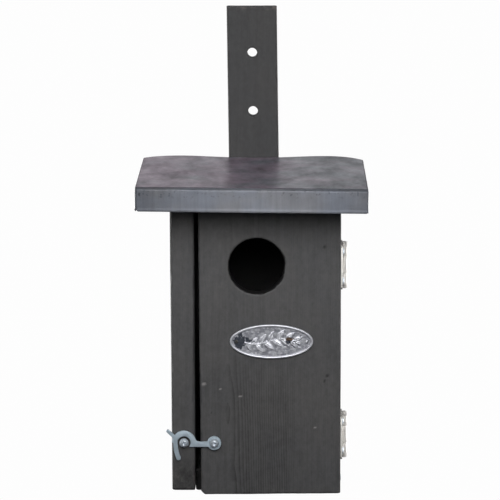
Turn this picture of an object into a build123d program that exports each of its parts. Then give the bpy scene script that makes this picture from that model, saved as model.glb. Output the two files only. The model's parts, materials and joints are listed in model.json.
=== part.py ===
from build123d import *
import os
from math import cos, radians, sin, tan

# A small nest box of 13 mm boards: a hinged front with a round entrance, a hook latch,
# a board roof under a folded zinc sheet, and a batten on the back that hangs it on a wall.
#
# Frame: the origin is midway between the batten's two hanging holes, on its back face.
# X runs to the right seen from the front, +Y into the wall behind, Z up.
# A depth is a distance in front of the batten's back face, so depth d lies at Y = -d.

# Driving dimensions, mm and degrees

batten_width = 30.0
batten_thickness = 12.0
batten_top = 45.2
batten_bottom = -218.0
hanging_hole_radius = 2.9
hanging_hole_spacing = 35.0

left_wall_outer = {"top": -47.35, "bottom": -46.0}
left_wall_inner = {"top": -33.35, "bottom": -32.75}
body_right = 51.1
body_depth = 105.0
side_thickness = 13.4
back_thickness = 13.0
walls_bottom = -228.4
walls_blank_top = -58.0
floor_thickness = 12.0
floor_drop = 2.4
drain_hole_radius = 3.0
drain_hole_spacing = 40.0
board_edge_radius = 0.8

door_thickness = 13.0
door_top = -63.8
door_bottom_hinge_side = -230.1
door_bottom_free_side = -230.9
door_free_edge_top = -31.0
door_free_edge_bottom = -29.4
door_corner_cut = 2.0
door_rest_gap = 0.5
entry_radius = 16.0
entry_center = (2.6, -97.7)

roof_pitch = 1.5
roof_width = 130.8
roof_depth = 131.8
roof_thickness = 12.0
roof_back_gap = 0.5
cover_top_at_back = -46.2
cover_thickness = 0.7
cover_skirt = 14.1
cover_crest_height = 1.9
cover_middle_height = 0.9
cover_crest_inset = 23.0

hinge_centers = {"upper": -98.4, "lower": -197.4}
hinge_length = 26.5
hinge_middle_knuckle = 9.5
hinge_leaf_width = 10.5
hinge_leaf_thickness = 1.0
hinge_leaf_corner = 1.5
hinge_barrel_radius = 1.7
hinge_axis_offset = 2.1
hinge_gap = 0.3
hinge_pin_radius = 1.0
hinge_pin_clearance = 0.06
hinge_pin_end = 0.4
hinge_screw_spacing = 17.0
hinge_screw_reach = 6.4

latch_pivot = (-21.8, -200.4)
latch_catch = (-39.2, -200.2)
latch_screw_radius = 1.5
hook_thickness = 1.5
hook_clearance = 0.3
hook_eye_radius = 4.0
hook_bore_clearance = 0.1
hook_ring_outer = 7.0
hook_ring_inner = 3.8
hook_arm_height = 3.0
hook_arm_drop = 0.65
hook_arm_fillet = 2.0
hook_tail_radius = 22.3
hook_tail_width = 2.5
hook_tail_start = 178.0
hook_tail_sweep = 25.0
hook_tab_length = 6.4
hook_tab_width = 1.9
hook_tab_angle = -43.0
hook_tab_center = (-7.6, 5.2)

plate_center = (11.2, -141.3)
plate_half_length = 24.1
plate_half_height = 10.0
plate_thickness = 0.9
plate_rim_width = 1.3
plate_rim_height = 0.6
plate_pin_reach = 20.2

back_nail_heights = (-90.0, -146.0, -202.0)
floor_nail_spots_back = (-24.0, 28.0)
floor_nail_depths = (56.0, 94.0)
roof_nail_reaches = (24.0, 80.0)
cover_nail_depths = (42.0, 112.0)
batten_screw_spots = [(7.0, -78.0), (-7.0, -100.0), (7.0, -172.0), (-7.0, -194.0)]

# Worked out from the above

front_depth = batten_thickness + body_depth
door_back_depth = front_depth - door_thickness
walls_front_depth = door_back_depth - door_rest_gap
cavity_back_depth = batten_thickness + back_thickness
body_left = (left_wall_outer["top"] + left_wall_outer["bottom"]) / 2
inner_left = (left_wall_inner["top"] + left_wall_inner["bottom"]) / 2
inner_right = body_right - side_thickness
right_wall_outer = {"top": body_right, "bottom": body_right}
right_wall_inner = {"top": inner_right, "bottom": inner_right}
cavity_middle = (inner_left + inner_right) / 2
floor_bottom = walls_bottom - floor_drop
floor_middle = floor_bottom + floor_thickness / 2
latch_head_depth = front_depth + 2 * hook_clearance + hook_thickness
hinge_axis = (body_right + hinge_axis_offset, door_rest_gap / 2 - door_back_depth)
hinge_end_knuckle = (hinge_length - hinge_middle_knuckle) / 2 - hinge_gap
slope = radians(roof_pitch)
roof_origin = (0, -batten_thickness - roof_back_gap, cover_top_at_back - cover_thickness)

to_front = (0, -1, 0)
to_back = (0, 1, 0)
to_right = (1, 0, 0)
to_left = (-1, 0, 0)
into_roof = (0, sin(slope), -cos(slope))
down_roof = (0, -cos(slope), -sin(slope))

roof_top = Plane(origin=roof_origin, x_dir=(1, 0, 0), z_dir=into_roof)
roof_section = Plane(origin=roof_origin, x_dir=(1, 0, 0), z_dir=down_roof)
roof_bottom = roof_top.offset(roof_thickness)


def roof_underside(depth):
    """Height of the roof board's underside at a depth."""
    at_back = roof_origin[2] - roof_thickness / cos(slope)
    return at_back - (depth + roof_origin[1]) * tan(slope)


def at_height(face, z):
    """X at a height on a wall's face, which may lean between its top and bottom."""
    share = (z - walls_bottom) / (walls_blank_top - walls_bottom)
    return face["bottom"] + (face["top"] - face["bottom"]) * share


def on_roof(x, along):
    """The x, depth and height of a point on the roof board's top."""
    point = roof_top.from_local_coords(Vector(x, along, 0))
    return point.X, -point.Y, point.Z


def fastener(style, head_radius, head_height, shank_radius, length):
    """A screw or nail driven along +Z. Its head stands on Z = 0, or is sunk below it if countersunk."""
    shank = [(0, length), (shank_radius, length - 2 * shank_radius)]
    with BuildPart() as blank:
        with BuildSketch(Plane.XZ):
            with BuildLine():
                if style == "countersunk":
                    throat = (shank_radius, head_radius - shank_radius)
                    Polyline((0, 0), *shank, throat, (head_radius, 0), close=True)
                elif style == "flat":
                    head = [(shank_radius, 0), (head_radius, 0), (head_radius, -head_height)]
                    Polyline((0, -head_height), *shank, *head, close=True)
                else:
                    Polyline((0, -head_height), *shank, (shank_radius, 0), (head_radius, 0))
                    TangentArc((0, -head_height), (head_radius, 0), tangent=(1, 0))
            make_face()
        revolve(axis=Axis.Z)
        if style == "domed":
            with BuildSketch(Plane.XY.offset(-head_height)):
                Rectangle(head_radius, head_radius / 4)
                Rectangle(head_radius / 4, head_radius)
            extrude(amount=head_height / 2, mode=Mode.SUBTRACT)
    return blank.part


def place(piece, direction, points, mode=Mode.ADD):
    """Add or cut a fastener at each (x, depth, z), driven along a direction."""
    with Locations(*[Plane(origin=(x, -depth, z), z_dir=direction) for x, depth, z in points]):
        add(piece, mode=mode)


def drill(*fastener_sets):
    """Cut the room that driven fasteners take in the piece being built."""
    for fasteners in fastener_sets:
        place(*fasteners, mode=Mode.SUBTRACT)


def fastener_group(*fastener_sets):
    """One node of separate, identical fasteners."""
    with BuildPart() as group:
        for fasteners in fastener_sets:
            place(*fasteners)
    return group


def write(builder, name):
    """Label a finished piece and write its STEP file."""
    builder.part.label = name
    export_step(builder.part, f"parts/{name}.step")


os.makedirs("parts", exist_ok=True)

# Fasteners: the pattern piece, its driving direction, and where each one goes as x, depth, z

wall_middles = ((body_left + inner_left) / 2, (body_right + inner_right) / 2)
floor_nail_left = at_height(left_wall_outer, floor_middle)

wall_nail = fastener("flat", head_radius=1.8, head_height=0.5, shank_radius=0.9, length=28.0)
back_nails = (
    wall_nail,
    to_front,
    [(x, batten_thickness, z) for x in wall_middles for z in back_nail_heights],
)
floor_nails = [
    (wall_nail, to_front, [(x, batten_thickness, floor_middle) for x in floor_nail_spots_back]),
    (wall_nail, to_right, [(floor_nail_left, depth, floor_middle) for depth in floor_nail_depths]),
    (wall_nail, to_left, [(body_right, depth, floor_middle) for depth in floor_nail_depths]),
]

roof_nails = (
    fastener("countersunk", head_radius=1.8, head_height=1.0, shank_radius=0.9, length=26.0),
    into_roof,
    [on_roof(x, along) for x in wall_middles for along in roof_nail_reaches],
)

cover_nail = fastener("flat", head_radius=1.6, head_height=0.3, shank_radius=0.7, length=11.0)
cover_nail_spots = [(depth, roof_underside(depth) + roof_thickness / 2) for depth in cover_nail_depths]
cover_side = roof_width / 2 + cover_thickness
cover_nails = [
    (cover_nail, direction, [(x, *spot) for spot in cover_nail_spots])
    for x, direction in ((-cover_side, to_right), (cover_side, to_left))
]

batten_screws = (
    fastener("countersunk", head_radius=3.2, head_height=2.0, shank_radius=1.6, length=22.0),
    to_front,
    [(x, 0, z) for x, z in batten_screw_spots],
)

hinge_screw = fastener("domed", head_radius=2.3, head_height=1.1, shank_radius=1.1, length=10.0)
hinge_screw_x = body_right + hinge_leaf_thickness
hinge_screw_heights = [
    center + rise
    for center in hinge_centers.values()
    for rise in (hinge_screw_spacing / 2, -hinge_screw_spacing / 2)
]
hinge_wall_screws, hinge_door_screws = [
    (hinge_screw, to_left, [(hinge_screw_x, reach - hinge_axis[1], z) for z in hinge_screw_heights])
    for reach in (-hinge_screw_reach, hinge_screw_reach)
]

latch_screw = fastener(
    "domed", head_radius=2.7, head_height=2.1, shank_radius=latch_screw_radius, length=13.0
)
latch_pivot_screw = (latch_screw, to_back, [(latch_pivot[0], latch_head_depth, latch_pivot[1])])
latch_catch_screw = (latch_screw, to_back, [(latch_catch[0], latch_head_depth, latch_catch[1])])

plate_pins = (
    fastener("domed", head_radius=1.1, head_height=0.6, shank_radius=0.6, length=8.0),
    to_back,
    [
        (plate_center[0] + reach, front_depth + plate_thickness, plate_center[1])
        for reach in (-plate_pin_reach, plate_pin_reach)
    ],
)

# The batten that hangs the box, with two holes through it

with BuildPart() as hanging_batten:
    with BuildSketch(Plane.XZ):
        with Locations((0, (batten_top + batten_bottom) / 2)):
            Rectangle(batten_width, batten_top - batten_bottom)
        with Locations((0, hanging_hole_spacing / 2), (0, -hanging_hole_spacing / 2)):
            Circle(hanging_hole_radius, mode=Mode.SUBTRACT)
    extrude(amount=batten_thickness)
    fillet(hanging_batten.edges().filter_by(Axis.Z), radius=board_edge_radius)
    drill(batten_screws)
write(hanging_batten, "hanging_batten")

# Back board, over the full width behind both side walls

with BuildPart() as back_board:
    with BuildSketch(Plane.YZ.offset(body_left)):
        Polygon(
            (-batten_thickness, walls_bottom),
            (-batten_thickness, roof_underside(batten_thickness)),
            (-cavity_back_depth, roof_underside(cavity_back_depth)),
            (-cavity_back_depth, walls_bottom),
            align=None,
        )
    extrude(amount=body_right - body_left)
    fillet(back_board.edges().filter_by(Axis.Z).group_by(Axis.Y)[-1], radius=board_edge_radius)
    drill(back_nails, floor_nails[0], batten_screws)
write(back_board, "back_board")

# Side walls. The left one is flush with the front of the door and leans in a little towards its foot,
# because the box isn't quite square. The right one stops behind the door.

for name, outer, inner, front, side_nails, front_fasteners in (
    ("left_wall", left_wall_outer, left_wall_inner, front_depth, floor_nails[1], latch_catch_screw),
    ("right_wall", right_wall_outer, right_wall_inner, walls_front_depth, floor_nails[2], hinge_wall_screws),
):
    with BuildPart() as side_wall:
        with BuildSketch(Plane.XZ.offset(cavity_back_depth)):
            Polygon(
                (outer["bottom"], walls_bottom),
                (outer["top"], walls_blank_top),
                (inner["top"], walls_blank_top),
                (inner["bottom"], walls_bottom),
                align=None,
            )
        extrude(amount=front - cavity_back_depth)
        split(bisect_by=roof_bottom, keep=Keep.TOP)
        front_edges = side_wall.faces().sort_by(Axis.Y)[0].edges()
        fillet(front_edges.sort_by(Axis.Z)[:-1], radius=board_edge_radius)
        drill(back_nails, side_nails, roof_nails, front_fasteners)
    write(side_wall, name)

# Floor between the walls, with drain holes

with BuildPart() as floor_board:
    with BuildSketch(Plane.XZ.offset(cavity_back_depth)):
        floor_top = floor_bottom + floor_thickness
        Polygon(
            (at_height(left_wall_inner, floor_bottom), floor_bottom),
            (at_height(left_wall_inner, floor_top), floor_top),
            (inner_right, floor_top),
            (inner_right, floor_bottom),
            align=None,
        )
    extrude(amount=walls_front_depth - cavity_back_depth)
    with BuildSketch(Plane.XY.offset(floor_bottom)):
        with Locations((cavity_middle, -(cavity_back_depth + walls_front_depth) / 2)):
            with GridLocations(drain_hole_spacing, drain_hole_spacing, 2, 2):
                Circle(drain_hole_radius)
    extrude(amount=floor_thickness, mode=Mode.SUBTRACT)
    drill(*floor_nails)
write(floor_board, "floor_board")

# Roof board, nailed down on the side walls

with BuildPart() as roof_board:
    with BuildSketch(roof_top):
        with Locations((0, roof_depth / 2)):
            Rectangle(roof_width, roof_depth)
    extrude(amount=roof_thickness)
    drill(roof_nails, *cover_nails)
write(roof_board, "roof_board")

# Zinc sheet folded down over the roof board's front and sides. Its free back edge bulges in two crests.

with BuildPart() as roof_cover:
    half = roof_width / 2
    crest = half - cover_crest_inset
    with BuildSketch(roof_section):
        with BuildLine():
            rise = Spline(
                (-half, 0),
                (-crest, cover_crest_height),
                (0, cover_middle_height),
                (crest, cover_crest_height),
                (half, 0),
            )
            Line((half, 0), (half, cover_thickness))
            Line((-half, 0), (-half, cover_thickness))
            add(rise.moved(Location((0, cover_thickness))))
        make_face()
    with BuildSketch(roof_section.offset(roof_depth)):
        with Locations((0, cover_thickness / 2)):
            Rectangle(roof_width, cover_thickness)
    loft(ruled=True)
    with BuildSketch(roof_top.offset(-cover_thickness)):
        with Locations((0, (roof_depth + cover_thickness) / 2)):
            Rectangle(roof_width + 2 * cover_thickness, roof_depth + cover_thickness)
        with Locations((0, roof_depth / 2)):
            Rectangle(roof_width, roof_depth, mode=Mode.SUBTRACT)
    extrude(amount=cover_skirt)
    drill(*cover_nails)
write(roof_cover, "roof_cover")

# The hinged front. Its free edge leans a little, because the board isn't quite square.

with BuildPart() as front_door:
    with BuildSketch(Plane.XZ.offset(door_back_depth)):
        Polygon(
            (body_right, door_top),
            (door_free_edge_top, door_top),
            (door_free_edge_bottom, door_bottom_free_side + door_corner_cut),
            (door_free_edge_bottom + door_corner_cut, door_bottom_free_side),
            (body_right, door_bottom_hinge_side),
            align=None,
        )
        with Locations(entry_center):
            Circle(entry_radius, mode=Mode.SUBTRACT)
    extrude(amount=door_thickness)
    fillet(front_door.faces().sort_by(Axis.Y)[0].edges(), radius=board_edge_radius)
    drill(hinge_door_screws, latch_pivot_screw, plate_pins)
write(front_door, "front_door")

# Two butt hinges on the right side: the wall leaf carries the end knuckles, the door leaf the middle one

for end, center in hinge_centers.items():
    end_knuckle_rise = (hinge_length - hinge_end_knuckle) / 2
    end_knuckles = [(rise, hinge_end_knuckle) for rise in (-end_knuckle_rise, end_knuckle_rise)]
    middle_knuckle = [(0, hinge_middle_knuckle)]
    for part_name, side, own_knuckles, other_knuckles, bore_radius, screws in (
        ("wall_leaf", 1, end_knuckles, middle_knuckle, hinge_pin_radius, hinge_wall_screws),
        (
            "door_leaf",
            -1,
            middle_knuckle,
            end_knuckles,
            hinge_pin_radius + hinge_pin_clearance,
            hinge_door_screws,
        ),
    ):
        with BuildPart() as leaf:
            with BuildSketch(Plane.YZ.offset(body_right)) as leaf_outline:
                with Locations((hinge_axis[1] + side * hinge_leaf_width / 2, center)):
                    Rectangle(hinge_leaf_width, hinge_length)
                corners = leaf_outline.vertices().sort_by(Axis.Y)
                fillet(corners[-2:] if side > 0 else corners[:2], radius=hinge_leaf_corner)
                notch_width = 2 * (hinge_barrel_radius + hinge_gap)
                for rise, length in other_knuckles:
                    with Locations((hinge_axis[1], center + rise)):
                        Rectangle(notch_width, length + 2 * hinge_gap, mode=Mode.SUBTRACT)
            extrude(amount=hinge_leaf_thickness)
            for rise, length in own_knuckles:
                with BuildSketch(Plane.XY.offset(center + rise - length / 2)):
                    with Locations(hinge_axis):
                        Circle(hinge_barrel_radius)
                extrude(amount=length)
            with BuildSketch(Plane.XY.offset(center - hinge_length / 2)):
                with Locations(hinge_axis):
                    Circle(bore_radius)
            extrude(amount=hinge_length, mode=Mode.SUBTRACT)
            drill(screws)
        write(leaf, f"{end}_hinge_{part_name}")

    with BuildPart() as hinge_pin:
        with BuildSketch(Plane.XY.offset(center - hinge_length / 2 - hinge_pin_end)):
            with Locations(hinge_axis):
                Circle(hinge_pin_radius)
        extrude(amount=hinge_length + 2 * hinge_pin_end)
        chamfer(hinge_pin.edges().filter_by(GeomType.CIRCLE), length=hinge_pin_end / 2)
    write(hinge_pin, f"{end}_hinge_pin")

# Hook latch: an eye on the door, an arm, a half ring over the catch screw, a tail and a finger tab

hook_tail_line = CenterArc(latch_pivot, hook_tail_radius, hook_tail_start, hook_tail_sweep)

with BuildPart() as latch_hook:
    with BuildSketch(Plane.XZ.offset(front_depth + hook_clearance)) as hook_outline:
        catch_distance = latch_pivot[0] - latch_catch[0]
        arm_middle = latch_pivot[1] - hook_arm_drop
        with Locations(latch_catch):
            Circle(hook_ring_outer)
        with Locations((latch_catch[0], arm_middle - hook_arm_height / 2 - hook_ring_outer / 2)):
            Rectangle(3 * hook_ring_outer, hook_ring_outer, mode=Mode.SUBTRACT)
        with Locations((latch_pivot[0] - catch_distance / 2, arm_middle)):
            Rectangle(catch_distance, hook_arm_height)
        arm_corner = hook_outline.vertices().sort_by(
            lambda corner: abs(corner.X - latch_catch[0] - hook_ring_outer)
            + abs(corner.Y - arm_middle - hook_arm_height / 2)
        )[0]
        fillet(arm_corner, radius=hook_arm_fillet)
        with Locations(latch_catch):
            Circle(hook_ring_inner, mode=Mode.SUBTRACT)
        with Locations((latch_catch[0] - hook_ring_outer, latch_catch[1] - hook_ring_outer)):
            Rectangle(2 * hook_ring_outer, 2 * hook_ring_outer, mode=Mode.SUBTRACT)
        SlotArc(hook_tail_line, hook_tail_width)
        tab_x = latch_catch[0] + hook_tab_center[0]
        tab_z = latch_catch[1] + hook_tab_center[1]
        with Locations(Location((tab_x, tab_z), hook_tab_angle)):
            SlotOverall(hook_tab_length, hook_tab_width)
        with Locations(latch_pivot):
            Circle(hook_eye_radius)
            Circle(latch_screw_radius + hook_bore_clearance, mode=Mode.SUBTRACT)
    extrude(amount=hook_thickness)
write(latch_hook, "latch_hook")

# Oval plate on the door, with a raised rim

with BuildPart() as oval_plate:
    for thickness in (plate_thickness, plate_thickness + plate_rim_height):
        with BuildSketch(Plane.XZ.offset(front_depth)):
            with Locations(plate_center):
                Ellipse(plate_half_length, plate_half_height)
                if thickness > plate_thickness:
                    Ellipse(
                        plate_half_length - plate_rim_width,
                        plate_half_height - plate_rim_width,
                        mode=Mode.SUBTRACT,
                    )
        extrude(amount=thickness)
    drill(plate_pins)
write(oval_plate, "oval_plate")

# Fasteners

write(fastener_group(back_nails), "wall_nails")
write(fastener_group(*floor_nails), "floor_nails")
write(fastener_group(roof_nails), "roof_nails")
write(fastener_group(*cover_nails), "cover_nails")
write(fastener_group(batten_screws), "batten_screws")
write(fastener_group(hinge_wall_screws), "hinge_wall_screws")
write(fastener_group(hinge_door_screws), "hinge_door_screws")
write(fastener_group(latch_pivot_screw), "latch_pivot_screw")
write(fastener_group(latch_catch_screw), "latch_catch_screw")
write(fastener_group(plate_pins), "plate_pins")
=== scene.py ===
import itertools
import json
import math

import bmesh
import bpy
import numpy as np
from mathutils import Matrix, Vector


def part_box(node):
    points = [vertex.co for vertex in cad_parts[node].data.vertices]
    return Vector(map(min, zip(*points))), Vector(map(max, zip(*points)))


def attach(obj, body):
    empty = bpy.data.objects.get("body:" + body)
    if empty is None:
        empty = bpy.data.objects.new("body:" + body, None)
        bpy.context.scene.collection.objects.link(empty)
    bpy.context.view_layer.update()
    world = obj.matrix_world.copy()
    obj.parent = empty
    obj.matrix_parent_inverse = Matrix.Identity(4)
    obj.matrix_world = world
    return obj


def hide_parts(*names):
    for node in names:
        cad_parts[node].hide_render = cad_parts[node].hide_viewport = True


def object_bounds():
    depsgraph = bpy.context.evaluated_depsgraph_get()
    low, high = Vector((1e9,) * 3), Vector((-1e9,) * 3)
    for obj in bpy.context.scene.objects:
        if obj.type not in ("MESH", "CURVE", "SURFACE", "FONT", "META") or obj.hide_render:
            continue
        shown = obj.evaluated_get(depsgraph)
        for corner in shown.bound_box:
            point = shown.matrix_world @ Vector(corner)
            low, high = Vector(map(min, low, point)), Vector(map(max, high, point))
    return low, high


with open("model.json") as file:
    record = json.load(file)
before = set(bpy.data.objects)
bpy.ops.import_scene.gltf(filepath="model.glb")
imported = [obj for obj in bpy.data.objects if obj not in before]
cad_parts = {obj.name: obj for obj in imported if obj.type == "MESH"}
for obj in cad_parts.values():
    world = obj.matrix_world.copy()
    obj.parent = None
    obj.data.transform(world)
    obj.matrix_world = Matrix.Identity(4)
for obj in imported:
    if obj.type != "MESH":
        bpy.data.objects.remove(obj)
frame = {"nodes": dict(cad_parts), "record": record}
cad_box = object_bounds()

MM = 0.001
record = frame["record"]
BODY_OF = {node: body for body, nodes in record["behaviour"]["bodies"].items() for node in nodes}


# Noise and small mesh tools. Points are arrays of millimetres.


def smooth_step(low, high, value):
    """0 up to low, 1 from high, and a smooth rise between."""
    t = np.clip((value - low) / (high - low), 0.0, 1.0)
    return t * t * (3.0 - 2.0 * t)


def noise(points, seed):
    """Smooth noise from -1 to 1, with lattice cells one unit wide."""
    size = 32
    table = np.random.RandomState(seed).uniform(-1.0, 1.0, (size, size, size))
    cell = np.floor(points).astype(int)
    part = points - cell
    part = part * part * (3.0 - 2.0 * part)
    total = np.zeros(len(points))
    for corner in itertools.product((0, 1), repeat=3):
        weight = np.prod(np.where(corner, part, 1.0 - part), axis=1)
        index = (cell + corner) % size
        total += weight * table[index[:, 0], index[:, 1], index[:, 2]]
    return total


def read_points(mesh):
    """Vertex places in millimetres and vertex normals."""
    places = np.zeros(len(mesh.vertices) * 3)
    mesh.vertices.foreach_get("co", places)
    normals = np.zeros(len(mesh.vertices) * 3)
    mesh.vertex_normals.foreach_get("vector", normals)
    return places.reshape(-1, 3) / MM, normals.reshape(-1, 3)


def write_points(mesh, points):
    mesh.vertices.foreach_set("co", (points * MM).astype(np.float32).ravel())
    mesh.update()


def write_attribute(mesh, name, values):
    """Store one number per vertex, for the material to read."""
    attribute = mesh.attributes.new(name, "FLOAT", "POINT")
    attribute.data.foreach_set("value", values.astype(np.float32))


def new_piece(name, mesh, smooth=True):
    piece = bpy.data.objects.new(name, mesh)
    bpy.context.scene.collection.objects.link(piece)
    mesh.polygons.foreach_set("use_smooth", [smooth] * len(mesh.polygons))
    return piece


def piece_from(name, points, faces, smooth=True):
    """A piece from points in millimetres and faces that index them."""
    mesh = bpy.data.meshes.new(name)
    mesh.from_pydata([tuple(p) for p in np.asarray(points) * MM], [], faces)
    mesh.validate()
    return new_piece(name, mesh, smooth)


def apply_modifiers(piece):
    """Replace a piece's mesh by what its modifiers make of it."""
    shown = piece.evaluated_get(bpy.context.evaluated_depsgraph_get())
    mesh = bpy.data.meshes.new_from_object(shown)
    piece.modifiers.clear()
    piece.data = mesh
    return piece


def cad_copy(node, name):
    """A new piece in a CAD node's shape, with its vertices merged and its flat faces whole."""
    shape = bmesh.new()
    shape.from_mesh(frame["nodes"][node].data)
    bmesh.ops.remove_doubles(shape, verts=shape.verts, dist=0.002 * MM)
    bmesh.ops.dissolve_limit(
        shape, angle_limit=math.radians(0.5), verts=shape.verts, edges=shape.edges
    )
    mesh = bpy.data.meshes.new(name)
    shape.to_mesh(mesh)
    shape.free()
    return new_piece(name, mesh, smooth=False)


def sharpen(piece, degrees=35):
    """Smooth shading, broken at edges that turn by more than an angle."""
    mesh = piece.data
    mesh.polygons.foreach_set("use_smooth", [True] * len(mesh.polygons))
    mesh.set_sharp_from_angle(angle=math.radians(degrees))
    return piece


def stand_for(piece, material, *nodes):
    """Give a piece its material and its body, and let it be shown in place of CAD nodes."""
    piece.data.materials.clear()
    piece.data.materials.append(material)
    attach(piece, BODY_OF[nodes[0]])
    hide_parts(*nodes)
    return piece


# Materials


class Look:
    """A material whose nodes are wired by short calls. Its lengths are millimetres."""

    def __init__(self, name, **constants):
        self.material = bpy.data.materials.new(name)
        self.material.use_nodes = True
        self.tree = self.material.node_tree
        self.shader = self.tree.nodes["Principled BSDF"]
        for socket, value in constants.items():
            self.shader.inputs[socket.replace("_", " ")].default_value = value
        coordinates = self.tree.nodes.new("ShaderNodeTexCoord")
        self.place = self.node(
            "ShaderNodeVectorMath",
            operation="SCALE",
            Vector=coordinates.outputs["Object"],
            Scale=1 / MM,
        )
        self.facing = coordinates.outputs["Normal"]

    def node(self, kind, output=0, operation=None, settings=None, **inputs):
        """Add a node, wire or set its inputs by name, and return one of its outputs."""
        made = self.tree.nodes.new(kind)
        if operation:
            made.operation = operation
        for key, value in (settings or {}).items():
            setattr(made, key, value)
        for key, value in inputs.items():
            name = key.strip("_").replace("_", " ")
            self.wire(value, made.inputs[int(name)] if name.isdigit() else made.inputs[name])
        return made.outputs[output]

    def wire(self, value, socket):
        if isinstance(value, bpy.types.NodeSocket):
            self.tree.links.new(value, socket)
        elif value is not None:
            socket.default_value = value

    def math(self, operation, a, b=None, clamp=False):
        return self.node(
            "ShaderNodeMath", operation=operation, settings={"use_clamp": clamp}, _0=a, _1=b
        )

    def total(self, *values):
        result = values[0]
        for value in values[1:]:
            result = self.math("ADD", result, value)
        return result

    def times(self, *values):
        result = values[0]
        for value in values[1:]:
            result = self.math("MULTIPLY", result, value)
        return result

    def step(self, low, high, value):
        """A smooth rise from 0 at low to 1 at high. It falls instead if low is above high."""
        return self.node(
            "ShaderNodeMapRange",
            settings={"interpolation_type": "SMOOTHSTEP"},
            Value=value,
            From_Min=min(low, high),
            From_Max=max(low, high),
            To_Min=0.0 if low < high else 1.0,
            To_Max=1.0 if low < high else 0.0,
        )

    def stretched(self, frequency, shift=(0, 0, 0), vector=None):
        """The place, moved and scaled to a number of features per millimetre on each axis."""
        return self.node(
            "ShaderNodeMapping", Vector=vector or self.place, Scale=frequency, Location=shift
        )

    def noise(self, frequency, shift=(0, 0, 0), detail=3.0, rough=0.55, vector=None):
        """Noise from about -1 to 1."""
        raw = self.node(
            "ShaderNodeTexNoise",
            Vector=self.stretched(frequency, shift, vector),
            Scale=1.0,
            Detail=detail,
            Roughness=rough,
        )
        return self.times(self.math("SUBTRACT", raw, 0.5), 2.0)

    def axes(self, vector):
        """The three numbers of a vector."""
        made = self.tree.nodes.new("ShaderNodeSeparateXYZ")
        self.tree.links.new(vector, made.inputs[0])
        return made.outputs

    def vector(self, x, y, z):
        return self.node("ShaderNodeCombineXYZ", X=x, Y=y, Z=z)

    def attribute(self, name):
        """A number stored on the mesh's vertices."""
        return self.node("ShaderNodeAttribute", output=2, settings={"attribute_name": name})

    def mix(self, factor, a, b):
        """A colour between two colours."""
        made = self.tree.nodes.new("ShaderNodeMix")
        made.data_type = "RGBA"
        self.wire(factor, made.inputs["Factor"])
        for value, socket in ((a, made.inputs[6]), (b, made.inputs[7])):
            self.wire((*value, 1.0) if isinstance(value, tuple) else value, socket)
        return made.outputs[2]

    def scaled(self, colour, factor):
        """A colour made lighter or darker by a factor."""
        return self.node("ShaderNodeVectorMath", operation="SCALE", Vector=colour, Scale=factor)

    def finish(self, colour=None, roughness=None, height=None, depth=0.1, metallic=None):
        """Wire the results into the shader. Height 1 stands depth millimetres proud."""
        if colour is not None:
            self.wire(colour, self.shader.inputs["Base Color"])
        if roughness is not None:
            self.wire(roughness, self.shader.inputs["Roughness"])
        if metallic is not None:
            self.wire(metallic, self.shader.inputs["Metallic"])
        if height is not None:
            bump = self.node("ShaderNodeBump", Height=height, Distance=depth * MM, Strength=1.0)
            self.wire(bump, self.shader.inputs["Normal"])
        return self.material


PINE_STAIN = (0.0615, 0.0615, 0.0635)
PINE_STAIN_WARM = (0.0625, 0.0610, 0.0605)
PINE_WORN = (0.125, 0.103, 0.090)
PINE_CHIP = (0.23, 0.22, 0.215)
CLEAR_HALF_WIDTH = 19.0
GRAIN_ORDER = {"x": (1, 2, 0), "y": (2, 0, 1), "z": (0, 1, 2)}


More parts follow.
